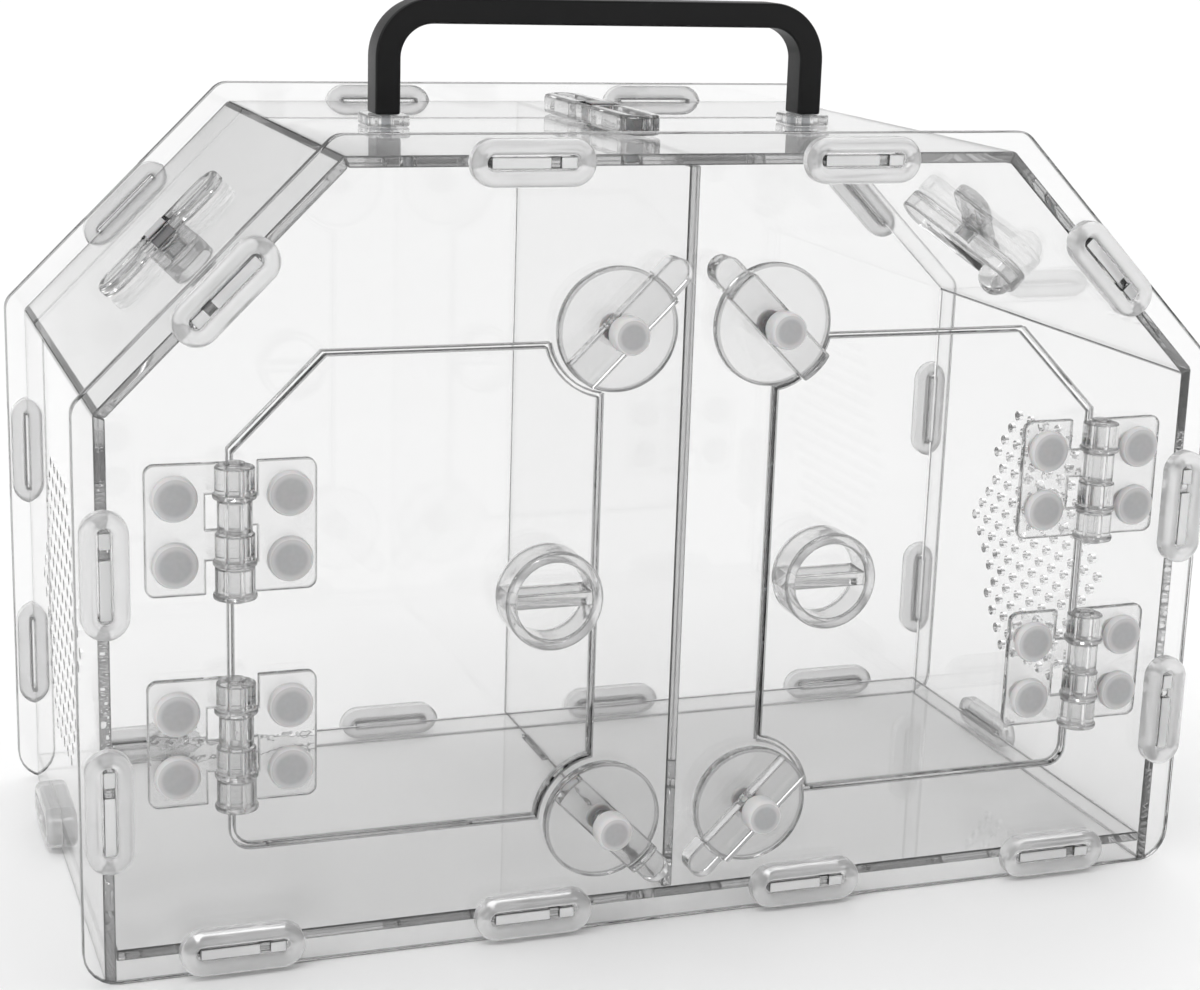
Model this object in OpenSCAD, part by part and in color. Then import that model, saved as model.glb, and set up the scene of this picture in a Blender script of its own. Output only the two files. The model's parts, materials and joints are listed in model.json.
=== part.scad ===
// Clear acrylic pet keeper with sloping shoulders, two hinged doors and a carrying handle.
// X runs to the right, Y to the back and Z up. The origin is on the floor, under the middle
// of the whole object. Heights called "above the deck" start at the underside of the bottom panel.

/* [Case] */
// Width of the case across its two side panels
case_w = 300; // [280:10:360]
// Depth of the case from the front panel's face to the back panel's face
case_d = 150; // [130:5:200]
// Height from the underside of the bottom panel to the top of the top panel
case_h = 200; // [190:5:230]
// Height above the deck at which the side panels meet the slopes
side_h = 140; // [130:5:150]
// Thickness of the acrylic sheet
sheet = 3; // [2.8:0.1:3.4]
// How far the front and back panels stand past the other panels
rim = 5.5; // [5.5:0.5:8]
// Corner radius of the front and back panels
rim_r = 6; // [4:1:10]
// Corner radius at the lower corners of the front and back panels
foot_r = 9; // [6:1:12]

/* [Doors] */
// Distance from the middle of the case to a door's free edge
door_in = 24; // [22:1:26]
// Distance from the middle of the case to a door's hinge line
door_out = 118; // [114:1:122]
// Height of a door's lower edge above the deck
door_low = 28; // [26:1:30]
// Height of a door's upper edge above the deck
door_high = 153; // [151:1:155]
// Size of the slanted cut at a door's outer upper corner
door_cut = 23; // [18:1:28]
// Width of the sawn gap round a door
kerf = 0.6; // [0.4:0.1:1]
// Diameter of the round pull on a door
pull_d = 26; // [24:1:28]
// Distance from the middle of the case to the centre of a pull
pull_x = 38; // [38:1:44]
// Height of a pull's centre above the deck
pull_z = 89.5; // [80:0.5:100]

/* [Hinges] */
// Height of a hinge
hinge_h = 33; // [32:1:38]
// Reach of a hinge leaf from the pin's axis
leaf_w = 21; // [20:1:24]
// Thickness of a hinge leaf
leaf_t = 2; // [1.6:0.1:2.4]
// Height of the upper hinges' middle above the deck
hinge_up = 111.5; // [106:0.5:114]
// Height of the lower hinges' middle above the deck
hinge_down = 57.5; // [50:0.5:60]
// Diameter of a hinge pin
pin_d = 3; // [2.5:0.1:3.2]

/* [Latches] */
// Diameter of a latch disc
latch_d = 32; // [28:1:33]
// Reach of a latch's tongue from its pivot
tongue_r = 24; // [22:0.5:26]
// Distance from the middle of the case to a latch's pivot
latch_x = 21; // [20:0.5:23]
// Height of the upper latches' pivots above the deck
latch_up = 157; // [156:0.5:158]
// Height of the lower latches' pivots above the deck
latch_down = 26.5; // [25:0.5:28]

/* [Handle] */
// Width of the handle over its two legs
grip_w = 130; // [110:5:150]
// Height of the handle above the top panel, its collars included
grip_h = 34; // [32:0.5:45]
// Thickness of the handle's bar, seen from the front
grip_t = 7; // [6:0.5:9]
// Depth of the handle's bar from front to back
grip_d = 9.5; // [8:0.5:12]

/* [Turn knobs] */
// Length of the wing on a slope
wing_l = 44; // [40:1:56]
// Length of the wing on the top panel
top_wing_l = 72; // [50:1:76]
// Width of a wing's lobes
wing_w = 12; // [10:1:14]
// Length of the bar inside a slope
bar_l = 44; // [36:1:56]
// Angle of the right knob's wing from straight down the slope
wing_turn = 42; // [0:1:90]

/* [Lock rings] */
// Length of a lock ring
ring_l = 32; // [30:0.5:34]
// Width of a lock ring
ring_w = 12; // [11:0.5:13]
// Height of a lock ring above the panel
ring_t = 4.4; // [3.5:0.1:5]

/* [Vents] */
// Diameter of a vent hole
vent_d = 3; // [2:0.1:3.4]
// Distance between vent holes along a row
vent_pitch = 7.5; // [7:0.5:9]
// Distance between rows, which are shifted by half a pitch against each other
vent_rise = 4.7; // [4.5:0.1:5.2]
// Number of rows above and below the middle row
vent_rows = 8; // [4:1:8]

/* [Hidden] */
$fn = 48;

clear = [0.86, 0.90, 0.91, 0.35];
clear_thick = [0.80, 0.85, 0.86, 0.55];
milky = [0.82, 0.83, 0.83, 0.75];
rivet_grey = [0.68, 0.69, 0.69];
black = [0.06, 0.06, 0.06];
steel = [0.62, 0.62, 0.63];

mitre = sqrt(2) - 1;        // how much a 135 degree corner shortens an edge per unit of offset
top_w = case_w - 2 * (case_h - side_h);
slope_x = (case_w + top_w) / 4;             // middle of a slope's outer face
slope_z = (side_h + case_h) / 2;

running = 0.05;             // radial clearance of a pin or rivet in its bore
sweep_gap = 0.3;            // clearance in front of a panel for what turns on it
rivet_d = 4;
rivet_head_d = 11.4;
rivet_head_t = 2.4;
rivet_tail_d = 7;
rivet_tail_t = 1.6;
hinge_rivet_x = 14;         // rivets of a leaf, from the pin's axis
hinge_rivet_z = 8.2;        // and from the middle of the hinge
pin_off = 5.7;              // pin's axis in front of the front panel
knuckle_r = 4.9;
neck_r = 4.3;               // the narrower knuckle
collar_r = 5.4;
knuckle_play = 0.15;        // gap at each end of a knuckle
disc_t = 3.5;
bar_w = 9.2;
bar_t = 4.2;
latch_head_t = 5.5;         // a latch's rivet has a taller and narrower head
latch_head_d = 9.6;
notch_r = latch_d / 2 + 1.5;                // cut in a door's corners, round the latch disc

tab_w = ring_l - ring_w + 1.8;              // tabs that come through the front, back and side panels
tab_out = 3.4;
tab_root = 2;               // how far a tab's block runs into its own panel
tab_gap = 0.2;
ring_play = 0.3;            // gap between a tab's faces and its ring
ring_wall = (ring_w - sheet) / 2 - ring_play;
side_tab_y = 25;            // the bottom panel's side tabs, behind the case's middle
foot_tab_w = 20;            // the divider's two feet
foot_tab_y = 40;

latch_reach = sweep_gap + disc_t + bar_t + sweep_gap / 2 + latch_head_t;
front_y = -(case_d + latch_reach + ring_t) / 2 + latch_reach;
back_y = front_y + case_d;
mid_y = (front_y + back_y) / 2;
deck = rim;                 // height of the bottom panel's underside above the floor

// Each lock position on the front and back panels: X, height above the deck, angle of the joint
half_sheet = sheet / 2;
slope_in = half_sheet / sqrt(2);
top_spots = [for (x = [-44, 44]) [x, case_h - half_sheet, 0]];
bottom_spots = [for (x = [-116, -39, 39, 116]) [x, half_sheet, 0]];
side_x = case_w / 2 - half_sheet;
front_heights = [41.5, 101.5];              // lock positions of the side panels, above the deck
back_heights = [34, 97];
left_slope_spots = [[-slope_x + slope_in, slope_z - slope_in, 45]];
right_slope_spots = [[slope_x - slope_in, slope_z - slope_in, -45]];
ring_spots = concat(top_spots, bottom_spots, left_slope_spots, right_slope_spots);
front_spots = concat(ring_spots, [for (x = [-side_x, side_x]) for (z = front_heights) [x, z, 90]]);
back_spots = concat(ring_spots, [for (x = [-side_x, side_x]) for (z = back_heights) [x, z, 90]]);

// Outlines

function unit(v) = v / norm(v);
function arc(c, r, from, to, steps) =
    [for (i = [0:steps]) let(t = from + (to - from) * i / steps) c + r * [cos(t), sin(t)]];
function corner(a, b, c, r) =
    let(u = unit(a - b), v = unit(c - b), half = acos(u * v) / 2,
        middle = b + unit(u + v) * r / sin(half), first = b + u * r / tan(half) - middle,
        from = atan2(first[1], first[0]))
    arc(middle, r, from, from + 180 - 2 * half, 6);
function rounded(pts, radii) =
    let(n = len(pts), m = len(radii))
    [for (i = [0:n - 1]) each corner(pts[(i + n - 1) % n], pts[i], pts[(i + 1) % n], radii[i % m])];

// The ring of panels seen from the front, drawn in by t. Going round: lower left, lower right,
// right shoulder, right top, left top, left shoulder.
function case_outline(t) = [
    [-case_w / 2 + t, deck + t],
    [case_w / 2 - t, deck + t],
    [case_w / 2 - t, deck + side_h - mitre * t],
    [top_w / 2 - mitre * t, deck + case_h - t],
    [-top_w / 2 + mitre * t, deck + case_h - t],
    [-case_w / 2 + t, deck + side_h - mitre * t]
];

// The front and back panels stand past the ring of panels
function face_outline() = rounded(case_outline(-rim), [foot_r, foot_r, rim_r, rim_r, rim_r, rim_r]);

// A right-hand door, drawn in by g. Its inner corners are cut round the latch discs.
function door_outline(g) =
    let(inner = door_in + g, outer = door_out - g, low = deck + door_low + g, high = deck + door_high - g,
        r = notch_r + g, soft = 5,
        up = [latch_x, deck + latch_up], down = [latch_x, deck + latch_down],
        side_angle = acos((inner - latch_x) / r),
        up_angle = asin((high - up[1]) / r), down_angle = asin((low - down[1]) / r))
    concat(
        arc([outer - soft, low + soft], soft, -90, 0, 5),
        [[outer, high - door_cut - mitre * g], [outer - door_cut - mitre * g, high]],
        arc(up, r, up_angle, -side_angle, 8),
        arc(down, r, side_angle, down_angle, 8)
    );

// Shared pieces

// Extrudes an outline drawn in X and Z along Y, from y0 to y1
module along_y(y0, y1) {
    translate([0, y1, 0]) rotate([90, 0, 0]) linear_extrude(y1 - y0) children();
}

// Puts a piece on the front panel's face, with its own Z pointing out to the front
module on_front(x, z) {
    translate([x, front_y, deck + z]) rotate([90, 0, 0]) children();
}

// Puts a piece on the back panel's face, with its own Z pointing out to the back
module on_back(x, z) {
    translate([x, back_y, deck + z]) rotate([90, 0, 180]) children();
}

// A box that lies along a joint line, from y0 to y1
module joint_box(spot, w, t, y0, y1) {
    translate([spot[0], 0, deck + spot[1]]) rotate([0, -spot[2], 0])
        translate([-w / 2, y0, -t / 2]) cube([w, y1 - y0, t]);
}

// Tabs through the front panel, each with a notch in its end, and tabs through the back panel
module tabs(at_front, at_back) {
    notch = [2.4, 1.2];
    for (s = at_front) difference() {
        joint_box(s, tab_w, sheet, front_y - tab_out, front_y + sheet + tab_root);
        translate([spot_shift(s)[0], 0, spot_shift(s)[1]])
            joint_box(s, notch[0], sheet + 1, front_y - tab_out - 1, front_y - tab_out + notch[1]);
    }
    for (s = at_back) joint_box(s, tab_w, sheet, back_y - sheet - tab_root, back_y + tab_out);
}

// The notch in a tab's end lies a quarter of the tab from its middle
function spot_shift(s) = tab_w / 4 * [cos(s[2]), sin(s[2])];

// Slots for the tabs in a front or back panel
module slots(spots) {
    for (s = spots) joint_box(s, tab_w + 2 * tab_gap, sheet + 2 * tab_gap, -case_d, case_d);
}

// An oblong with round ends, l long and w wide
module oblong(l, w, h) {
    translate([-(l - w) / 2, -w / 2, 0]) cube([l - w, w, h]);
    for (x = [-(l - w) / 2, (l - w) / 2]) translate([x, 0, 0]) cylinder(d = w, h = h);
}

// The section of a lock ring, with rounded upper edges. X is the distance from the ring's middle line.
module ring_section() {
    soft = 0.45 * ring_wall;
    inner = ring_w / 2 - ring_wall;
    translate([inner, 0]) square([ring_wall, ring_t - soft]);
    translate([inner + soft, 0]) square([ring_wall - 2 * soft, ring_t]);
    for (x = [inner + soft, inner + ring_wall - soft])
        translate([x, ring_t - soft]) circle(r = soft);
}

// A soft ring that is pushed over a tab and grips it
module lock_ring() {
    straight = ring_l - ring_w;
    for (end = [0, 180]) rotate([0, 0, end]) {
        translate([straight / 2, 0, 0]) rotate([0, 0, -90]) rotate_extrude(angle = 180) ring_section();
        translate([-straight / 2, 0, 0]) rotate([90, 0, 90]) linear_extrude(straight) ring_section();
    }
}

// A flat-headed push rivet. Z = 0 is the face that its head sits on; grip is what it holds together.
module rivet(head_d, head_t, grip) {
    ease = 0.6;
    cylinder(d = head_d, h = head_t - ease);
    translate([0, 0, head_t - ease]) cylinder(d1 = head_d, d2 = head_d - 2 * ease, h = ease);
    translate([0, 0, -grip - rivet_tail_t]) cylinder(d = rivet_d, h = grip + rivet_tail_t + 0.1);
    translate([0, 0, -grip - rivet_tail_t]) cylinder(d = rivet_tail_d, h = rivet_tail_t);
}

module rivet_bore() {
    through = 40;
    translate([0, 0, -through / 2]) cylinder(r = rivet_d / 2 + running, h = through);
}

// Both rivet positions of one leaf. side is 1 for a right hinge and -1 for a left one,
// part is 1 for the leaf on the frame and -1 for the leaf on the door.
module leaf_rivet_spots(side, part, z) {
    for (dz = [-hinge_rivet_z, hinge_rivet_z])
        on_front(side * (door_out + part * hinge_rivet_x), z + dz) children();
}

// The ring of panels

module front_panel() {
    color(clear) difference() {
        along_y(front_y, front_y + sheet) polygon(face_outline());
        slots(front_spots);
        for (side = [0, 1]) mirror([side, 0, 0])
            along_y(front_y - 1, front_y + sheet + 1) polygon(door_outline(-kerf / 2));
        for (side = [-1, 1]) {
            for (z = [hinge_up, hinge_down]) leaf_rivet_spots(side, 1, z) rivet_bore();
            for (z = [latch_up, latch_down]) on_front(side * latch_x, z) rivet_bore();
        }
    }
}

module back_panel() {
    color(clear) difference() {
        along_y(back_y - sheet, back_y) polygon(face_outline());
        slots(back_spots);
    }
}

// One flat panel of the ring, between corner a and corner b of the case's outline
module ring_panel(a, b) {
    outer = case_outline(0);
    inner = case_outline(sheet);
    along_y(front_y + sheet, back_y - sheet) polygon([outer[a], outer[b], inner[b], inner[a]]);
}

// A side panel reaches down to the floor, so the bottom panel stands between the two
module side_panel() {
    outer = case_outline(0)[2];
    inner = case_outline(sheet)[2];
    color(clear) {
        difference() {
            along_y(front_y + sheet, back_y - sheet)
                polygon([[inner[0], 0], [outer[0], 0], outer, inner]);
            translate([case_w / 2 - sheet - 1, mid_y + side_tab_y - tab_w / 2 - tab_gap, deck - tab_gap])
                cube([sheet + 2, tab_w + 2 * tab_gap, sheet + 2 * tab_gap]);
            vents();
        }
        tabs([for (z = front_heights) [side_x, z, 90]], [for (z = back_heights) [side_x, z, 90]]);
    }
}

// Vent holes in staggered rows, the outer rows shorter, so that the field is a hexagon
module vents() {
    field = [38, 75.5];     // half length of the middle row, height of the middle row
    taper = 0.5;
    for (row = [-vent_rows:vent_rows]) {
        z = row * vent_rise;
        shift = row % 2 == 0 ? 0 : vent_pitch / 2;
        last = floor((field[0] - taper * abs(z) - shift) / vent_pitch);
        for (i = [-last - (shift > 0 ? 1 : 0):last])
            translate([case_w / 2 - sheet - 1, mid_y + i * vent_pitch + shift, field[1] + z])
                rotate([0, 90, 0]) cylinder(d = vent_d, h = sheet + 2);
    }
}

module right_side_panel() { side_panel(); }

module left_side_panel() { mirror([1, 0, 0]) side_panel(); }

module slope_panel() {
    color(clear) {
        difference() {
            ring_panel(2, 3);
            slope_place(0) knob_bore();
        }
        tabs(right_slope_spots, right_slope_spots);
    }
}

module right_slope_panel() { slope_panel(); }

module left_slope_panel() { mirror([1, 0, 0]) slope_panel(); }

module top_panel() {
    color(clear) {
        difference() {
            ring_panel(3, 4);
            top_place() knob_bore();
            for (x = grip_feet) translate([x, mid_y, deck + case_h - sheet - 1])
                cylinder(r = screw_d / 2 + screw_play, h = sheet + 2);
        }
        tabs(top_spots, top_spots);
    }
}

module bottom_panel() {
    inside = case_w / 2 - sheet;
    color(clear) {
        difference() {
            translate([-inside, front_y + sheet, deck])
                cube([2 * inside, case_d - 2 * sheet, sheet]);
            for (y = [-foot_tab_y, foot_tab_y])
                translate([-half_sheet - tab_gap, mid_y + y - foot_tab_w / 2 - tab_gap, deck - 1])
                    cube([sheet + 2 * tab_gap, foot_tab_w + 2 * tab_gap, sheet + 2]);
        }
        tabs(bottom_spots, bottom_spots);
        for (x = [-case_w / 2 - tab_out, inside])
            translate([x, mid_y + side_tab_y - tab_w / 2, deck]) cube([sheet + tab_out, tab_w, sheet]);
    }
}

// The divider stands on two feet in the bottom panel and is notched round the top knob's clip
module divider_panel() {
    low = deck + sheet;
    high = deck + case_h - sheet;
    slack = 0.3;
    notch = [clip_d + 2, clip_in - sheet + 1];
    color(clear) {
        difference() {
            translate([-half_sheet, front_y + sheet + slack / 2, low])
                cube([sheet, case_d - 2 * sheet - slack, high - low]);
            translate([-sheet, mid_y - notch[0] / 2, high - notch[1]])
                cube([2 * sheet, notch[0], notch[1] + 1]);
        }
        for (y = [-foot_tab_y, foot_tab_y])
            translate([-half_sheet, mid_y + y - foot_tab_w / 2, deck])
                cube([sheet, foot_tab_w, sheet]);
    }
}

// Soft lock rings

module front_lock_rings() {
    color(milky) for (s = front_spots) on_front(s[0], s[1]) rotate([0, 0, s[2]]) lock_ring();
}

module back_lock_rings() {
    color(milky) for (s = back_spots) on_back(s[0], s[1]) rotate([0, 0, -s[2]]) lock_ring();
}

module side_lock_rings() {
    color(milky) for (side = [-1, 1])
        translate([side * case_w / 2, mid_y + side_tab_y, deck + half_sheet])
            rotate([0, side * 90, 0]) rotate([0, 0, 90]) lock_ring();
}

// Doors

module door_panel(side) {
    color(clear) difference() {
        mirror([side < 0 ? 1 : 0, 0, 0])
            along_y(front_y, front_y + sheet) polygon(door_outline(kerf / 2));
        for (z = [hinge_up, hinge_down]) leaf_rivet_spots(side, -1, z) rivet_bore();
    }
}

module left_door_panel() { door_panel(-1); }

module right_door_panel() { door_panel(1); }

// A short tube with a bar across it, to pinch with two fingers
module door_pull(side) {
    wall = 3;
    deep = 10;
    bar = 4;
    color(clear_thick) on_front(side * pull_x, pull_z) {
        difference() {
            cylinder(d = pull_d, h = deep);
            translate([0, 0, -1]) cylinder(d = pull_d - 2 * wall, h = deep + 2);
        }
        intersection() {
            translate([-pull_d / 2, -bar / 2, 0]) cube([pull_d, bar, deep - 1]);
            cylinder(d = pull_d - wall, h = deep);
        }
    }
}

module left_door_pull() { door_pull(-1); }

module right_door_pull() { door_pull(1); }

// Hinges

// The four knuckles, counted from the top. The frame's leaf has the first and third, the door's
// leaf the second and fourth. The second is narrower, and each has a collar at its lower end.
module knuckle(i) {
    step = hinge_h / 4;
    collar_t = 1.4;
    r = i == 1 ? neck_r : knuckle_r;
    top = hinge_h / 2 - i * step - knuckle_play;
    length = step - 2 * knuckle_play;
    translate([0, 0, top - length]) cylinder(r = r, h = length);
    if (i != 1) translate([0, 0, top - length]) cylinder(r = collar_r, h = collar_t);
}

// part is 1 for the leaf on the frame and -1 for the leaf on the door, which reaches inwards
module leaf(side, part, z) {
    step = hinge_h / 4;
    reach = side * part;
    own = part > 0 ? [0, 2] : [1, 3];
    soft = 2.5;
    clear_x = 6.2;          // where the leaf stops beside the other leaf's knuckles
    color(clear_thick) difference() {
        translate([side * door_out, front_y - pin_off, deck + z]) {
            for (i = own) knuckle(i);
            mirror([reach < 0 ? 1 : 0, 0, 0]) {
                translate([0, pin_off, 0]) rotate([90, 0, 0]) linear_extrude(leaf_t)
                    polygon(concat(
                        [[clear_x, -hinge_h / 2]],
                        arc([leaf_w - soft, -hinge_h / 2 + soft], soft, -90, 0, 5),
                        arc([leaf_w - soft, hinge_h / 2 - soft], soft, 0, 90, 5),
                        [[clear_x, hinge_h / 2]]));
                for (i = own)
                    translate([0, pin_off - leaf_t, hinge_h / 2 - (i + 1) * step + knuckle_play])
                        cube([clear_x + 1, leaf_t, step - 2 * knuckle_play]);
            }
        }
        leaf_rivet_spots(side, part, z) rivet_bore();
        translate([side * door_out, front_y - pin_off, deck + z - hinge_h / 2 - 1])
            cylinder(r = pin_d / 2 + running, h = hinge_h + 2);
    }
}

module hinge_pin(side, z) {
    cap_d = 5.4;
    cap_t = 0.8;
    color(clear_thick) translate([side * door_out, front_y - pin_off, deck + z]) {
        translate([0, 0, -hinge_h / 2 - cap_t / 2]) cylinder(d = pin_d, h = hinge_h + cap_t);
        for (end = [-1, 1])
            translate([0, 0, end * (hinge_h + cap_t) / 2 - cap_t / 2]) cylinder(d = cap_d, h = cap_t);
    }
}

module left_upper_frame_leaf() { leaf(-1, 1, hinge_up); }
module left_lower_frame_leaf() { leaf(-1, 1, hinge_down); }
module right_upper_frame_leaf() { leaf(1, 1, hinge_up); }
module right_lower_frame_leaf() { leaf(1, 1, hinge_down); }
module left_upper_door_leaf() { leaf(-1, -1, hinge_up); }
module left_lower_door_leaf() { leaf(-1, -1, hinge_down); }
module right_upper_door_leaf() { leaf(1, -1, hinge_up); }
module right_lower_door_leaf() { leaf(1, -1, hinge_down); }
module left_upper_hinge_pin() { hinge_pin(-1, hinge_up); }
module left_lower_hinge_pin() { hinge_pin(-1, hinge_down); }
module right_upper_hinge_pin() { hinge_pin(1, hinge_up); }
module right_lower_hinge_pin() { hinge_pin(1, hinge_down); }

module hinge_rivets(side, part) {
    color(rivet_grey) for (z = [hinge_up, hinge_down])
        leaf_rivet_spots(side, part, z) translate([0, 0, leaf_t])
            rivet(rivet_head_d, rivet_head_t, leaf_t + sheet);
}

module frame_hinge_rivets() {
    for (side = [-1, 1]) hinge_rivets(side, 1);
}

module left_door_rivets() { hinge_rivets(-1, -1); }

module right_door_rivets() { hinge_rivets(1, -1); }

// Latches

// A latch's own X axis runs along its bar to the tongue. At rest the tongue points away from the door.
module latch_place(side, z) {
    angle = z == latch_up ? 45 : -45;
    on_front(side * latch_x, z) mirror([side > 0 ? 1 : 0, 0, 0]) rotate([0, 0, angle]) children();
}

module latch_disc(side, z) {
    color(clear_thick) latch_place(side, z) difference() {
        translate([0, 0, sweep_gap]) cylinder(d = latch_d, h = disc_t);
        rivet_bore();
    }
}

// The raised bar lies across the disc. Its tongue stands past the disc's edge, close over the panel.
module latch_bar(side, z) {
    tongue_w = 8;
    tongue_t = 6;
    tongue_root = 4;        // how far the tongue runs in under the bar
    fit = 0.15;
    color(clear_thick) latch_place(side, z) difference() {
        union() {
            translate([0, 0, sweep_gap + disc_t]) intersection() {
                translate([-latch_d / 2, -bar_w / 2, 0]) cube([latch_d, bar_w, bar_t]);
                cylinder(d = latch_d, h = bar_t);
            }
            difference() {
                translate([0, 0, sweep_gap]) {
                    translate([latch_d / 2 - tongue_root, -tongue_w / 2, 0])
                        cube([tongue_r - tongue_w / 2 - latch_d / 2 + tongue_root, tongue_w, tongue_t]);
                    translate([tongue_r - tongue_w / 2, 0, 0]) cylinder(d = tongue_w, h = tongue_t);
                }
                translate([0, 0, -1]) cylinder(d = latch_d + 2 * fit, h = sweep_gap + disc_t + 1);
            }
        }
        rivet_bore();
    }
}

module left_upper_latch_disc() { latch_disc(-1, latch_up); }
module left_lower_latch_disc() { latch_disc(-1, latch_down); }
module right_upper_latch_disc() { latch_disc(1, latch_up); }
module right_lower_latch_disc() { latch_disc(1, latch_down); }
module left_upper_latch_bar() { latch_bar(-1, latch_up); }
module left_lower_latch_bar() { latch_bar(-1, latch_down); }
module right_upper_latch_bar() { latch_bar(1, latch_up); }
module right_lower_latch_bar() { latch_bar(1, latch_down); }

module latch_rivets() {
    stack = 1.5 * sweep_gap + disc_t + bar_t;
    color(rivet_grey) for (side = [-1, 1]) for (z = [latch_up, latch_down])
        on_front(side * latch_x, z) translate([0, 0, stack])
            rivet(latch_head_d, latch_head_t, stack + sheet);
}

// Handle

grip_feet = [-grip_w / 2 + grip_t / 2, grip_w / 2 - grip_t / 2];
foot_t = 3;                 // thickness of the clear collar under each foot
screw_d = 4;
screw_play = 0.25;          // radial clearance of a screw in the top panel and the collars
screw_deep = 10;            // length of the screw inside the handle

// A square-sectioned bar bent to a U, drilled up both feet
module handle() {
    bend = 16;
    z0 = deck + case_h + foot_t;
    h = grip_h - foot_t;
    half = grip_w / 2;
    color(black) difference() {
        translate([0, mid_y - grip_d / 2, z0]) {
            for (side = [0, 1]) mirror([side, 0, 0]) {
                translate([half - grip_t, 0, 0]) cube([grip_t, grip_d, h - bend]);
                translate([half - bend, 0, h - bend]) rotate([-90, 0, 0]) intersection() {
                    difference() {
                        cylinder(r = bend, h = grip_d);
                        translate([0, 0, -1]) cylinder(r = bend - grip_t, h = grip_d + 2);
                    }
                    translate([0, -bend, 0]) cube([bend, bend, grip_d]);
                }
            }
            translate([-half + bend, 0, h - grip_t]) cube([grip_w - 2 * bend, grip_d, grip_t]);
        }
        for (x = grip_feet) translate([x, mid_y, z0 - 1])
            cylinder(r = screw_d / 2 + running, h = screw_deep + 2);
    }
}

module handle_collars() {
    size = [12, 14];
    soft = 2.5;
    color(clear_thick) for (x = grip_feet) translate([x, mid_y, deck + case_h]) difference() {
        linear_extrude(foot_t)
            polygon(rounded([for (c = [[-1, -1], [1, -1], [1, 1], [-1, 1]])
                             [c[0] * size[0] / 2, c[1] * size[1] / 2]], [soft]));
        translate([0, 0, -1]) cylinder(r = screw_d / 2 + screw_play, h = foot_t + 2);
    }
}

module handle_screws() {
    head_d = 7.6;
    head_t = 2.4;
    recess = 1.2;
    cross = [4.4, 1];       // length and width of the cross recess's arms
    color(steel) for (x = grip_feet) translate([x, mid_y, deck + case_h - sheet]) difference() {
        union() {
            cylinder(d = screw_d, h = sheet + foot_t + screw_deep);
            translate([0, 0, -head_t]) cylinder(d = head_d, h = head_t);
        }
        for (a = [0, 90]) rotate([0, 0, a]) translate([-cross[0] / 2, -cross[1] / 2, -head_t - 1])
            cube([cross[0], cross[1], 1 + recess]);
    }
}

// Turn knobs

shank_d = 6;
boss = 6.5;                 // the pin's square head
wing_t = 4;
top_wing_t = 5.5;
inner_bar_w = 13;
inner_bar_t = 6;
inner_bore = 3.6;           // depth of the blind bore in the inner bar
clip_d = 10;
clip_t = 1.6;
clip_in = sheet + sweep_gap + clip_t;       // from the top panel's upper face to the clip's underside

// The middle of the right slope's outer face, with Z pointing out and X pointing down the slope
module slope_place(turn) {
    translate([slope_x, mid_y, deck + slope_z]) rotate([0, 45, 0]) rotate([0, 0, turn]) children();
}

module top_place() {
    translate([0, mid_y, deck + case_h]) rotate([0, 0, 90]) children();
}

module knob_bore() {
    translate([0, 0, -sheet - 1]) cylinder(r = shank_d / 2 + running, h = sheet + 2);
}

// Two lobes with a dished face, joined by a narrower waist with a square hole for the pin's head
module wing(length, t) {
    waist_l = 8;
    lobe_l = (length - waist_l) / 2;
    lobe_x = (length - lobe_l) / 2;
    waist_w = 9.5;
    dish_rim = 2.5;
    dish = [lobe_l - 2 * dish_rim, 4, 1];
    hole = boss + 2 * running;
    color(clear_thick) difference() {
        translate([0, 0, sweep_gap]) {
            for (side = [-1, 1]) translate([side * lobe_x, 0, 0]) oblong(lobe_l, wing_w, t);
            translate([-lobe_x, -waist_w / 2, 0]) cube([2 * lobe_x, waist_w, t]);
        }
        for (side = [-1, 1]) translate([side * lobe_x, 0, sweep_gap + t - dish[2]])
            oblong(dish[0], dish[1], dish[2] + 1);
        translate([-hole / 2, -hole / 2, 0]) cube([hole, hole, 2 * t]);
    }
}

// A square head in a wing of thickness t, and a round shank that reaches a given depth below
// the panel's outer face
module knob_pin(reach, t) {
    proud = 0.5;
    color(rivet_grey) {
        translate([-boss / 2, -boss / 2, sweep_gap]) cube([boss, boss, t + proud]);
        translate([0, 0, -reach]) cylinder(d = shank_d, h = reach + sweep_gap + 0.1);
    }
}

// The bar inside a slope lies across the wing, with a groove along it and a ball near one end
module inner_bar() {
    groove = [22, 3.5, 1.4];
    ball_r = 5.4;
    ball_in = 0.4;          // how deep the ball's centre lies in the bar
    color(clear_thick) translate([0, 0, -sheet - sweep_gap - inner_bar_t]) rotate([0, 0, 90]) {
        difference() {
            union() {
                oblong(bar_l, inner_bar_w, inner_bar_t);
                translate([-(bar_l - inner_bar_w) / 2, 0, ball_in]) sphere(r = ball_r);
            }
            translate([-groove[0] / 2, -groove[1] / 2, -1]) cube([groove[0], groove[1], groove[2] + 1]);
            translate([0, 0, inner_bar_t - inner_bore])
                cylinder(r = shank_d / 2 + running, h = inner_bore + 1);
        }
    }
}

// A small push-on washer that keeps the top knob's pin in its panel
module top_knob_clip() {
    color(milky) top_place() translate([0, 0, -clip_in]) difference() {
        cylinder(d = clip_d, h = clip_t);
        translate([0, 0, -1]) cylinder(r = shank_d / 2 + running, h = clip_t + 2);
    }
}

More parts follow.
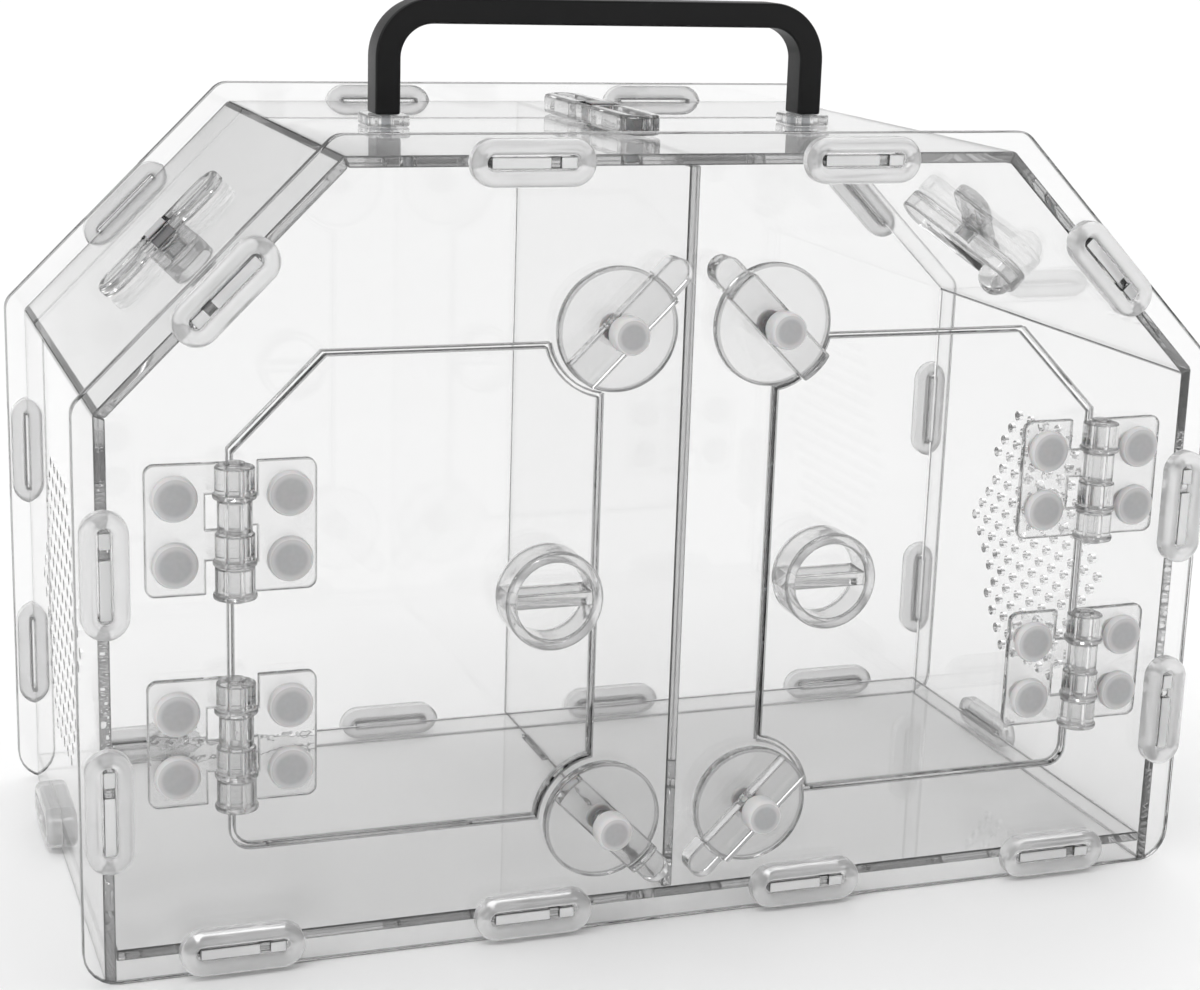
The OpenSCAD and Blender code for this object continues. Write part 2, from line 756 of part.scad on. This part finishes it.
slope_reach = sheet + sweep_gap + inner_bore;
module top_knob_wing() { top_place() wing(top_wing_l, top_wing_t); }
module right_knob_wing() { slope_place(wing_turn) wing(wing_l, wing_t); }
module left_knob_wing() { mirror([1, 0, 0]) slope_place(0) wing(wing_l, wing_t); }
module top_knob_pin() { top_place() knob_pin(clip_in + 0.5, top_wing_t); }
module right_knob_pin() { slope_place(wing_turn) knob_pin(slope_reach, wing_t); }
module left_knob_pin() { mirror([1, 0, 0]) slope_place(0) knob_pin(slope_reach, wing_t); }
module right_knob_bar() { slope_place(wing_turn) inner_bar(); }
module left_knob_bar() { mirror([1, 0, 0]) slope_place(0) inner_bar(); }

front_panel();
back_panel();
left_side_panel();
right_side_panel();
left_slope_panel();
right_slope_panel();
top_panel();
bottom_panel();
divider_panel();
front_lock_rings();
back_lock_rings();
side_lock_rings();
left_door_panel();
right_door_panel();
left_door_pull();
right_door_pull();
left_upper_frame_leaf();
left_lower_frame_leaf();
right_upper_frame_leaf();
right_lower_frame_leaf();
left_upper_door_leaf();
left_lower_door_leaf();
right_upper_door_leaf();
right_lower_door_leaf();
left_upper_hinge_pin();
left_lower_hinge_pin();
right_upper_hinge_pin();
right_lower_hinge_pin();
frame_hinge_rivets();
left_door_rivets();
right_door_rivets();
left_upper_latch_disc();
left_lower_latch_disc();
right_upper_latch_disc();
right_lower_latch_disc();
left_upper_latch_bar();
left_lower_latch_bar();
right_upper_latch_bar();
right_lower_latch_bar();
latch_rivets();
handle();
handle_collars();
handle_screws();
top_knob_wing();
left_knob_wing();
right_knob_wing();
top_knob_pin();
left_knob_pin();
right_knob_pin();
left_knob_bar();
right_knob_bar();
top_knob_clip();
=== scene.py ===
import json
import math

import bmesh
import bpy
import numpy as np
from mathutils import Matrix, Vector


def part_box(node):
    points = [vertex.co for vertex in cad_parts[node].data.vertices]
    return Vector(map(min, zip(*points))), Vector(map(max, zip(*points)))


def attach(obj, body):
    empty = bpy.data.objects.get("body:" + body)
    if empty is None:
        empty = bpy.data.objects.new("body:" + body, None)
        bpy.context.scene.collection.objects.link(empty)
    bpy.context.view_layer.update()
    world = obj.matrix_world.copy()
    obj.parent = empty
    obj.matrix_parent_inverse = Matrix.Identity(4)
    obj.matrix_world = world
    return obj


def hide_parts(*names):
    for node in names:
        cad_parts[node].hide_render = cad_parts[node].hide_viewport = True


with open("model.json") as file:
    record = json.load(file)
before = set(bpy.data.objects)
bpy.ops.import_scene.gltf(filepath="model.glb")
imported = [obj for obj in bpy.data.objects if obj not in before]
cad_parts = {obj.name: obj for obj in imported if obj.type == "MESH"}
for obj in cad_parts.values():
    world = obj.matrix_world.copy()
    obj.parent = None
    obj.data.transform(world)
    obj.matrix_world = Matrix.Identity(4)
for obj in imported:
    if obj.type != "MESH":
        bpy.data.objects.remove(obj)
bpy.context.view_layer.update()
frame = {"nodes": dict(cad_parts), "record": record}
print("loaded", len(frame["nodes"]), "pieces")


def linearFromHex(text):
    # sRGB hex to the linear numbers that shaders take, with full opacity
    parts = [int(text[i:i + 2], 16) / 255 for i in (1, 3, 5)]
    return [p / 12.92 if p <= 0.04045 else ((p + 0.055) / 1.055) ** 2.4 for p in parts] + [1.0]


def addNode(tree, kind, links=None, values=None, **settings):
    # one node, with its own settings, socket values, and what feeds its sockets
    node = tree.nodes.new(kind)
    for name, value in settings.items():
        setattr(node, name, value)
    for socket, value in (values or {}).items():
        node.inputs[socket].default_value = value
    for socket, source in (links or {}).items():
        tree.links.new(source, node.inputs[socket])
    return node


def newMaterial(name):
    material = bpy.data.materials.new(name)
    material.use_nodes = True
    material.node_tree.nodes.clear()
    tree = material.node_tree
    coords = addNode(tree, "ShaderNodeTexCoord")
    return material, tree, coords.outputs["Object"]


def perMillimetre(size):
    # noise scale for a pattern whose features are this many millimetres apart
    return 1000 / size


bodies = frame["record"]["behaviour"]["bodies"]
bodyOf = {node: body for body, nodes in bodies.items() for node in nodes}
slotOf = {part["node"]: part["material_slot"] for part in frame["record"]["subparts"]}

softening = {
    "gap": 0.04,             # mm that every face is drawn in, so that two clear pieces never share a face
    "flatWithin": 0.6,       # degrees between faces that count as one flat face
    "roundOver": 30,         # degrees; edges that turn more are rounded
    "sharpOver": 55,         # degrees; edges that turn more show as a crease
    "steps": 2,              # faces across a rounded edge
    "discCorners": 20,       # a flat face with more corners than this is a disc
    "flatWeight": 80,        # how strongly a large face keeps the shading at its edges flat
}


def drawIn(mesh, gap):
    # moves every face of a mesh inwards by the same gap
    sameWay = 0.9999         # cosine between faces that count as one
    leastPull = 0.05         # directions in which a corner's faces pull less than this stay put
    moved = []
    for vertex in mesh.verts:
        normals = []
        for face in vertex.link_faces:
            if all(face.normal.dot(n) < sameWay for n in normals):
                normals.append(face.normal.copy())
        rows = np.array(normals)
        moved.append(np.linalg.lstsq(rows, np.full(len(rows), -gap), rcond=leastPull)[0])
    for vertex, step in zip(mesh.verts, moved):
        vertex.co += Vector(step)


def roundEdges(mesh, ease, shortest):
    # rounds the outward edges, where arris becomes 1; those shorter than shortest, in mm, stay sharp
    turn = math.radians(softening["roundOver"])
    outward = [e for e in mesh.edges if e.is_manifold and e.is_convex
               and e.calc_length() > shortest / 1000 and e.calc_face_angle(0) > turn]
    arris = mesh.faces.layers.float.new("arris")
    made = bmesh.ops.bevel(mesh, geom=outward, offset=ease / 1000, offset_type="OFFSET",
                           segments=softening["steps"], profile=0.5, affect="EDGES", clamp_overlap=False)
    for face in made["faces"]:
        face[arris] = 1.0


def domeDiscs(mesh):
    # gives each disc a hub; the mask for the painted pale rim rises from 0 there to 1 at the rim and
    # everywhere else
    paintedRimGlow = mesh.verts.layers.float.new("paintedRimGlow")
    discs = [f for f in mesh.faces if len(f.verts) > softening["discCorners"]]
    hubs = bmesh.ops.poke(mesh, faces=discs)["verts"]
    for vertex in mesh.verts:
        vertex[paintedRimGlow] = 1.0
    for vertex in hubs:
        vertex[paintedRimGlow] = 0.0


def softenedPiece(node, finish, ease, merge=0.01, shortest=0.0, domed=False, cutFinish=None, isCut=None):
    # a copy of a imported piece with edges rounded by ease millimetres; corners nearer than merge become
    # one, domed discs shade as shallow domes, and the faces that isCut picks take cutFinish
    mesh = bmesh.new()
    mesh.from_mesh(frame["nodes"][node].data)
    bmesh.ops.remove_doubles(mesh, verts=mesh.verts, dist=merge / 1000)
    bmesh.ops.dissolve_degenerate(mesh, dist=merge / 1000, edges=mesh.edges)
    flat = math.radians(softening["flatWithin"])
    bmesh.ops.dissolve_limit(mesh, angle_limit=flat, verts=mesh.verts, edges=mesh.edges)
    mesh.normal_update()
    drawIn(mesh, softening["gap"] / 1000)
    mesh.normal_update()
    roundEdges(mesh, ease, shortest)
    if domed:
        domeDiscs(mesh)
    mesh.normal_update()
    crease = math.radians(softening["sharpOver"])
    for e in mesh.edges:
        e.smooth = e.is_manifold and e.calc_face_angle(0) < crease
    for face in mesh.faces:
        face.smooth = True
        face.material_index = 1 if isCut and isCut(face) else 0
    data = bpy.data.meshes.new(node + "_finished")
    mesh.to_mesh(data)
    mesh.free()
    if "custom_normal" in data.attributes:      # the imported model's own normals don't fit the new faces
        data.attributes.remove(data.attributes["custom_normal"])
    data.materials.append(finish)
    if cutFinish:
        data.materials.append(cutFinish)
    piece = bpy.data.objects.new(node + "_finished", data)
    bpy.context.scene.collection.objects.link(piece)
    if not domed:
        # large faces stay flat and the narrow ones at their edges shade as a curve
        bpy.context.view_layer.objects.active = piece
        even = piece.modifiers.new("evenNormals", "WEIGHTED_NORMAL")
        even.keep_sharp = True
        even.weight = softening["flatWeight"]
        bpy.ops.object.modifier_apply(modifier=even.name)
    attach(piece, bodyOf[node])
    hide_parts(node)
    return piece


cameraView = {
    "place": (-0.2209, -0.6135, 0.2671),  # metres from the middle of the object's base
    "turn": 19.974,                       # degrees to the right of straight ahead
    "tilt": 14.333,                       # degrees below level
    "roll": 1.849,
    "focal": 2346.8 / 1200,               # focal length over picture width
    "sensor": 36,                         # mm
    "clip": (0.01, 60),                   # metres
}


def makeCamera(view):
    turn, tilt, roll = (math.radians(view[k]) for k in ("turn", "tilt", "roll"))
    ahead = Vector((math.sin(turn) * math.cos(tilt), math.cos(turn) * math.cos(tilt), -math.sin(tilt)))
    right = Vector((math.cos(turn), -math.sin(turn), 0))
    up = right.cross(ahead)
    rolledRight = right * math.cos(roll) + up * math.sin(roll)
    rolledUp = up * math.cos(roll) - right * math.sin(roll)
    data = bpy.data.cameras.new("camera")
    data.sensor_width = view["sensor"]
    data.lens = view["focal"] * view["sensor"]
    data.clip_start, data.clip_end = view["clip"]
    camera = bpy.data.objects.new("camera", data)
    bpy.context.scene.collection.objects.link(camera)
    camera.matrix_world = Matrix.Translation(view["place"]) @ Matrix(
        (rolledRight, rolledUp, -ahead)).transposed().to_4x4()
    bpy.context.scene.camera = camera


makeCamera(cameraView)

studio = {
    "floor": "#F2F2F2",
    "floorLight": "#F5F5F5",
    "floorGrain": 90,               # mm between paler patches of the paper
    "floorSize": 40.0,              # metres
    "bounces": 24,                  # light runs far inside a clear sheet
    "sky": [(0.0, 0.42), (0.3, 0.58), (0.6, 0.92), (1.0, 1.40)],   # sine of the height, brightness
    "floorTone": 1.03,              # how bright the lit floor looks
    "bandHeight": (0.04, 0.3),      # sines of the height between which the horizon band fades
    "frontDimmer": 0.45,            # how bright the side behind the camera is, against the far side
    "dimmerReach": (-0.9, 0.3),     # front-to-back stretch over which it brightens
    # wide soft lights: name, direction in which it shines, spread in degrees, strength
    "suns": [("keyLight", (0.75, 0.45, -0.9), 35, 0.60),
             ("rimLight", (-0.5, -0.8, -1.2), 30, 0.28),
             ("leftStrip", (0.85, 0.6, -0.45), 9, 0.20),
             ("topStrip", (0.15, 0.55, -1.0), 9, 0.26)],
}


def makeStudio(s):
    scene = bpy.context.scene
    scene.view_settings.view_transform = "Standard"
    scene.cycles.max_bounces = s["bounces"]
    scene.cycles.glossy_bounces = s["bounces"]
    scene.cycles.transmission_bounces = s["bounces"]
    scene.cycles.transparent_max_bounces = s["bounces"]
    bpy.ops.mesh.primitive_plane_add(size=s["floorSize"])
    floor = bpy.context.object
    floor.name = "floor"
    material, tree, place = newMaterial("matt paper backdrop")
    paper = addNode(tree, "ShaderNodeTexNoise", {"Vector": place},
                    {"Scale": perMillimetre(s["floorGrain"]), "Detail": 3})
    tone = addNode(tree, "ShaderNodeMix", {"Factor": paper.outputs["Fac"]}, data_type="RGBA")
    tone.inputs["A"].default_value = linearFromHex(s["floor"])
    tone.inputs["B"].default_value = linearFromHex(s["floorLight"])
    shader = addNode(tree, "ShaderNodeBsdfPrincipled", {"Base Color": tone.outputs["Result"]},
                     {"Roughness": 0.9})
    addNode(tree, "ShaderNodeOutputMaterial", {"Surface": shader.outputs["BSDF"]})
    floor.data.materials.append(material)

    # a white tent: bright overhead, greyer low down, and dimmer on the front side
    world = bpy.data.worlds.new("studio")
    scene.world = world
    world.use_nodes = True
    tree = world.node_tree
    tree.nodes.clear()
    coords = addNode(tree, "ShaderNodeTexCoord")
    parts = addNode(tree, "ShaderNodeSeparateXYZ", {"Vector": coords.outputs["Generated"]})
    ramp = addNode(tree, "ShaderNodeFloatCurve", {"Value": parts.outputs["Z"]})
    curve = ramp.mapping.curves[0]
    top = s["sky"][-1][1]
    curve.points[0].location = (0.0, s["sky"][0][1] / top)
    curve.points[1].location = (1.0, 1.0)
    for sine, bright in s["sky"][1:-1]:
        curve.points.new(sine, bright / top)
    ramp.mapping.update()
    near, far = s["dimmerReach"]
    dim = addNode(tree, "ShaderNodeMapRange", {"Value": parts.outputs["Y"]},
                  {"From Min": near, "From Max": far, "To Min": s["frontDimmer"] * top, "To Max": top},
                  interpolation_type="SMOOTHSTEP")
    tent = addNode(tree, "ShaderNodeMath", {0: ramp.outputs["Value"], 1: dim.outputs["Result"]},
                   operation="MULTIPLY")
    # a band just over the horizon is as bright as the floor, so that the backdrop has no seam
    low, high = s["bandHeight"]
    band = addNode(tree, "ShaderNodeMapRange", {"Value": parts.outputs["Z"]},
                   {"From Min": low, "From Max": high, "To Min": s["floorTone"], "To Max": 0.0},
                   interpolation_type="SMOOTHSTEP")
    strength = addNode(tree, "ShaderNodeMath", {0: tent.outputs["Value"], 1: band.outputs["Result"]},
                       operation="MAXIMUM")
    back = addNode(tree, "ShaderNodeBackground", {"Strength": strength.outputs["Value"]},
                   {"Color": linearFromHex("#FFFFFF")})
    addNode(tree, "ShaderNodeOutputWorld", {"Surface": back.outputs["Background"]})

    for name, aim, spread, power in s["suns"]:
        data = bpy.data.lights.new(name, "SUN")
        data.angle = math.radians(spread)
        data.energy = power
        light = bpy.data.objects.new(name, data)
        scene.collection.objects.link(light)
        light.rotation_euler = Vector(aim).to_track_quat("-Z", "Y").to_euler()


makeStudio(studio)
print("camera and studio ready")


def showThroughShadow(tree, shader, shadowTone, absorb):
    # a clear piece: the shader's own look, a light shadow, and a body that darkens long ways through it
    through = addNode(tree, "ShaderNodeBsdfTransparent", values={"Color": linearFromHex(shadowTone)})
    ray = addNode(tree, "ShaderNodeLightPath")
    mix = addNode(tree, "ShaderNodeMixShader", {"Fac": ray.outputs["Is Shadow Ray"],
                                                1: shader.outputs["BSDF"], 2: through.outputs["BSDF"]})
    body = addNode(tree, "ShaderNodeVolumeAbsorption",
                   values={"Color": linearFromHex(absorb[0]), "Density": absorb[1]})
    addNode(tree, "ShaderNodeOutputMaterial",
            {"Surface": mix.outputs["Shader"], "Volume": body.outputs["Volume"]})


def arrisTone(tree, tint, arrisTint):
    # clear inside its faces, and darker along its rounded edges, where the light is bent away
    mark = addNode(tree, "ShaderNodeAttribute", attribute_name="arris")
    tone = addNode(tree, "ShaderNodeMix", {"Factor": mark.outputs["Fac"]}, data_type="RGBA")
    tone.inputs["A"].default_value = linearFromHex(tint)
    tone.inputs["B"].default_value = linearFromHex(arrisTint)
    return tone.outputs["Result"]


sheetLook = {
    "tint": "#F9F9F9",
    "arris": "#8A8A8A",          # along the rounded edges
    "shadow": "#F2F2F2",
    "ior": 1.49,
    "smudgeSize": 38,            # mm between handling marks
    "smudgeFrom": 0.55,          # share of the noise that stays polished
    "smudgeTo": 0.8,
    "roughest": 0.05,
    "body": ("#808080", 4.5),    # colour and density per metre of what darkens the sheet's edges
}


def castAcrylicSheet(look):
    # Cast acrylic, laser cut: glassy faces with faint handling marks, and edges that look dark
    # with bright lines, because light comes to them along the sheet
    material, tree, place = newMaterial("cast acrylic sheet, laser cut")
    smudge = addNode(tree, "ShaderNodeTexNoise", {"Vector": place},
                     {"Scale": perMillimetre(look["smudgeSize"]), "Detail": 4, "Roughness": 0.6})
    rough = addNode(tree, "ShaderNodeMapRange", {"Value": smudge.outputs["Fac"]},
                    {"From Min": look["smudgeFrom"], "From Max": look["smudgeTo"],
                     "To Min": 0.0, "To Max": look["roughest"]})
    shader = addNode(tree, "ShaderNodeBsdfPrincipled",
                     {"Base Color": arrisTone(tree, look["tint"], look["arris"]),
                      "Roughness": rough.outputs["Result"]},
                     {"IOR": look["ior"], "Transmission Weight": 1.0})
    showThroughShadow(tree, shader, look["shadow"], look["body"])
    return material


sawnLook = {
    "tint": "#F4F4F4",
    "ior": 1.49,
    "grooveSize": 0.9,           # mm between saw grooves, coarser than real so that they show
    "grooveDepth": 0.0002,       # metres
    "clearness": 0.45,
    "roughness": 0.45,
}


def sawnEdge(look):
    # The same acrylic where a saw has cut it: matt and white, because its grooves scatter the light
    material, tree, place = newMaterial("cast acrylic, sawn edge")
    grooves = addNode(tree, "ShaderNodeTexNoise", {"Vector": place},
                      {"Scale": perMillimetre(look["grooveSize"]), "Detail": 3})
    bump = addNode(tree, "ShaderNodeBump", {"Height": grooves.outputs["Fac"]},
                   {"Strength": 0.3, "Distance": look["grooveDepth"]})
    shader = addNode(tree, "ShaderNodeBsdfPrincipled", {"Normal": bump.outputs["Normal"]},
                     {"Base Color": linearFromHex(look["tint"]), "IOR": look["ior"],
                      "Transmission Weight": look["clearness"], "Roughness": look["roughness"]})
    addNode(tree, "ShaderNodeOutputMaterial", {"Surface": shader.outputs["BSDF"]})
    return material


mouldingLook = {
    "tint": "#F5F5F5",
    "arris": "#B4B4B4",          # along the rounded edges
    "shadow": "#E8E8E8",
    "ior": 1.58,
    "rippleSize": 5,             # mm between the faint waves of a moulded face
    "rippleDepth": 0.0003,       # metres
    "roughness": 0.015,
    "body": ("#808080", 14.0),
}


def clearMoulding(look):
    # Polycarbonate, injection moulded: clear, with faint waves in its faces that bend what shows
    # through it, and grey where it is thick
    material, tree, place = newMaterial("clear polycarbonate, moulded")
    ripple = addNode(tree, "ShaderNodeTexNoise", {"Vector": place},
                     {"Scale": perMillimetre(look["rippleSize"]), "Detail": 2})
    bump = addNode(tree, "ShaderNodeBump", {"Height": ripple.outputs["Fac"]},
                   {"Strength": 0.25, "Distance": look["rippleDepth"]})
    shader = addNode(tree, "ShaderNodeBsdfPrincipled",
                     {"Base Color": arrisTone(tree, look["tint"], look["arris"]),
                      "Normal": bump.outputs["Normal"]},
                     {"IOR": look["ior"], "Transmission Weight": 1.0, "Roughness": look["roughness"]})
    showThroughShadow(tree, shader, look["shadow"], look["body"])
    return material


siliconeLook = {
    "thin": "#F0F0F0",
    "thick": "#FEFEFE",
    "ior": 1.41,
    "hazeSize": 9,               # mm between lighter patches
    "clearness": 0.72,
    "roughness": 0.12,
}


def milkySilicone(look):
    # Silicone, moulded: milky, so that the tab inside a ring shows only as a blurred shape
    material, tree, place = newMaterial("milky silicone, moulded")
    haze = addNode(tree, "ShaderNodeTexNoise", {"Vector": place},
                   {"Scale": perMillimetre(look["hazeSize"]), "Detail": 3})
    tone = addNode(tree, "ShaderNodeMix", {"Factor": haze.outputs["Fac"]}, data_type="RGBA")
    tone.inputs["A"].default_value = linearFromHex(look["thin"])
    tone.inputs["B"].default_value = linearFromHex(look["thick"])
    shader = addNode(tree, "ShaderNodeBsdfPrincipled", {"Base Color": tone.outputs["Result"]},
                     {"IOR": look["ior"], "Transmission Weight": look["clearness"],
                      "Roughness": look["roughness"]})
    addNode(tree, "ShaderNodeOutputMaterial", {"Surface": shader.outputs["BSDF"]})
    return material


nylonLook = {
    "ior": 1.53,
    "dark": "#A6A6A7",
    "light": "#B3B3B4",
    "grainSize": 1.2,            # mm
    "roughness": 0.28,
    "glow": 0.2,                 # share of the light that runs inside the nylon
    "glowReach": 0.002,          # metres
    # painted light: paler tones for the heads' rims, standing in for light through the thin nylon and on
    # its rounded edge
    "rimDark": "#D6D6D6",
    "rimLight": "#E6E6E6",
    "fadeFrom": 0.74,            # where a head begins to pale, from 0 in its middle to 1 at its rim
    "fadeMost": 0.55,            # share of the rim's colour at the rim
}


def nylonRivet(look, name, dark, light):
    # Nylon, moulded: satin and slightly translucent, with a rim painted paler where the material is thin:
    # painted light standing in for light shining through the thin nylon and catching its rounded edge
    material, tree, place = newMaterial(name)
    grain = addNode(tree, "ShaderNodeTexNoise", {"Vector": place},
                    {"Scale": perMillimetre(look["grainSize"]), "Detail": 3})
    tone = addNode(tree, "ShaderNodeMix", {"Factor": grain.outputs["Fac"]}, data_type="RGBA")
    tone.inputs["A"].default_value = linearFromHex(dark)
    tone.inputs["B"].default_value = linearFromHex(light)
    # painted light: the head's colour pales towards its rim by this mask
    thin = addNode(tree, "ShaderNodeAttribute", attribute_name="paintedRimGlow")
    fade = addNode(tree, "ShaderNodeMapRange", {"Value": thin.outputs["Fac"]},
                   {"From Min": look["fadeFrom"], "To Max": look["fadeMost"]},
                   interpolation_type="SMOOTHSTEP")
    paled = addNode(tree, "ShaderNodeMix", {"Factor": fade.outputs["Result"], "A": tone.outputs["Result"]},
                    data_type="RGBA")
    paled.inputs["B"].default_value = linearFromHex(look["rimDark"])
    shader = addNode(tree, "ShaderNodeBsdfPrincipled", {"Base Color": paled.outputs["Result"]},
                     {"IOR": look["ior"], "Roughness": look["roughness"],
                      "Subsurface Weight": look["glow"], "Subsurface Scale": look["glowReach"]})
    addNode(tree, "ShaderNodeOutputMaterial", {"Surface": shader.outputs["BSDF"]})
    return material


handleLook = {
    "tint": "#050506",
    "grainSize": 0.35,           # mm
    "grainDepth": 0.0001,        # metres
    "smoothest": 0.3,
    "roughest": 0.5,
    "gloss": 0.3,
}


def blackHandle(look):
    # Aluminium, bead blasted and dyed black: deep black, with a soft grey sheen where light grazes it.
    # The dyed layer hides the metal, so it shades as a dark gloss and not as bare metal.
    material, tree, place = newMaterial("black anodised aluminium, bead blasted")
    grain = addNode(tree, "ShaderNodeTexNoise", {"Vector": place},
                    {"Scale": perMillimetre(look["grainSize"]), "Detail": 4})
    rough = addNode(tree, "ShaderNodeMapRange", {"Value": grain.outputs["Fac"]},
                    {"To Min": look["smoothest"], "To Max": look["roughest"]})
    bump = addNode(tree, "ShaderNodeBump", {"Height": grain.outputs["Fac"]},
                   {"Strength": 0.2, "Distance": look["grainDepth"]})
    shader = addNode(tree, "ShaderNodeBsdfPrincipled",
                     {"Roughness": rough.outputs["Result"], "Normal": bump.outputs["Normal"]},
                     {"Base Color": linearFromHex(look["tint"]), "Specular IOR Level": look["gloss"]})
    addNode(tree, "ShaderNodeOutputMaterial", {"Surface": shader.outputs["BSDF"]})
    return material


screwLook = {
    "tint": "#C9CBCE",
    "grainSize": 0.8,            # mm
    "smoothest": 0.25,
    "roughest": 0.4,
}


def zincScrew(look):
    # Steel, zinc plated: bright grey metal with a fine uneven gloss
    material, tree, place = newMaterial("zinc plated steel, turned")
    grain = addNode(tree, "ShaderNodeTexNoise", {"Vector": place},
                    {"Scale": perMillimetre(look["grainSize"]), "Detail": 2})
    rough = addNode(tree, "ShaderNodeMapRange", {"Value": grain.outputs["Fac"]},
                    {"To Min": look["smoothest"], "To Max": look["roughest"]})
    shader = addNode(tree, "ShaderNodeBsdfPrincipled", {"Roughness": rough.outputs["Result"]},
                     {"Base Color": linearFromHex(look["tint"]), "Metallic": 1.0})
    addNode(tree, "ShaderNodeOutputMaterial", {"Surface": shader.outputs["BSDF"]})
    return material


finishes = {
    "clear_sheet": castAcrylicSheet(sheetLook),
    "clear_moulding": clearMoulding(mouldingLook),
    "milky_silicone": milkySilicone(siliconeLook),
    "rivet_plastic": nylonRivet(nylonLook, "natural nylon, moulded", nylonLook["dark"], nylonLook["light"]),
    "black_metal": blackHandle(handleLook),
    "screw_steel": zincScrew(screwLook),
}
sawn = sawnEdge(sawnLook)
# a paler copy of the nylon for the sides and rounded edges of the heads: painted light, not a colour of the
# nylon
paintedPaleRim = nylonRivet(nylonLook, "natural nylon, painted pale rim", nylonLook["rimDark"], nylonLook["rimLight"])
print("materials ready")

edgeEase = {          # width of the rounded edges in millimetres
    "clear_sheet": 0.45,
    "clear_moulding": 0.4,
    "milky_silicone": 0.25,
    "rivet_plastic": 0.45,
    "black_metal": 0.7,
    "screw_steel": 0.2,
}
softerEase = {        # pieces whose moulded edges are rounder
    "_latch_disc": 0.9,
    "_knob_wing": 1.0,
    "_knob_bar": 0.8,
    "_door_pull": 0.7,
    "_collars": 0.6,
    "_bar": 0.4,
    "_pin": 0.3,
}
leafMerge = 0.16      # mm; corners of a hinge leaf nearer than this become one
boreRim = 0.45        # mm; shorter edges of a sheet are the rims of small bores and stay sharp
tabbed = ["left_side_panel", "right_side_panel", "left_slope_panel", "right_slope_panel",
          "top_panel", "bottom_panel"]
riveted = ["frame_hinge_rivets", "left_door_rivets", "right_door_rivets", "latch_rivets"]
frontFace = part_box("front_panel")[0].y
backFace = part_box("back_panel")[1].y


def isTabEnd(face):
    # the end of a tab, where it stands past the front or back panel
    middle = face.calc_center_median()
    proud = 0.003                           # metres
    endsThere = abs(face.normal.y) > 0.5    # it faces forwards or backwards
    return endsThere and (middle.y < frontFace - proud or middle.y > backFace + proud)


def isRim(face):
    # the side of a rivet's head and its rounded edge, which don't face forwards or backwards
    return abs(face.normal.y) < 0.9


special = {node: {"cutFinish": sawn, "isCut": isTabEnd} for node in tabbed}
# rivet heads: their sides and rounded edges take the painted pale rim
special.update({node: {"cutFinish": paintedPaleRim, "isCut": isRim, "domed": True} for node in riveted})
special.update({node: {"merge": leafMerge} for node in frame["nodes"] if node.endswith("_leaf")})
for node in frame["nodes"]:
    slot = slotOf[node]
    options = dict(special.get(node, {}))
    if slot == "clear_sheet":
        options["shortest"] = boreRim
    ease = next((e for ending, e in softerEase.items() if node.endswith(ending)), edgeEase[slot])
    piece = softenedPiece(node, finishes[slot], ease, **options)
    print(node, len(piece.data.polygons), "faces")
